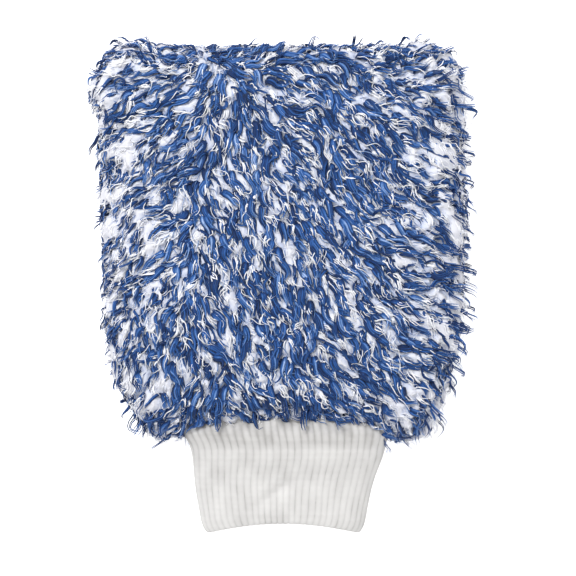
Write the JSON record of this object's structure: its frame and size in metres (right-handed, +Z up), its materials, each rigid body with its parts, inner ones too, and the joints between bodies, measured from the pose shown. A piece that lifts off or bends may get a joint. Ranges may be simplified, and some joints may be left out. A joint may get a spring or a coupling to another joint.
{
  "type": "wash mitt",
  "caption": "Plush wash mitt with a lined pocket for the hand and a folded rib-knit cuff that bends at its seam.",
  "frame": {"origin": "on the table, under the centre of the whole mitt as it lies", "axes": "+X across the mitt, +Y from the cuff towards the finger end, +Z up out of the front"},
  "size_m": [0.204, 0.27, 0.0548],
  "materials": {
    "plush_pile": "deep plush pile of fine white yarns and broad dark blue tufts, curly and matted",
    "ground_cloth": "plain knitted polyester ground cloth",
    "lining_cloth": "smooth white tricot lining",
    "sewing_thread": "white spun polyester thread",
    "rib_knit": "white rib knit, matt, folded double"
  },
  "bodies": {
    "mitt": {"front_pile": "plush_pile", "rear_pile": "plush_pile", "front_ground_cloth": "ground_cloth", "rear_ground_cloth": "ground_cloth", "front_lining": "lining_cloth", "rear_lining": "lining_cloth", "shell_needle_thread": "sewing_thread", "shell_bobbin_thread": "sewing_thread", "lining_needle_thread": "sewing_thread", "lining_bobbin_thread": "sewing_thread", "cuff_join_thread": "sewing_thread"},
    "cuff": {"rib_cuff": "rib_knit", "cuff_closing_thread": "sewing_thread"}
  },
  "joints": [
    {"name": "cuff_fold", "type": "hinge", "parent": "mitt", "child": "cuff", "pos_m": [0, -0.079, 0.025], "axis": [-1, 0, 0], "range_deg": [-35, 55]}
  ]
}
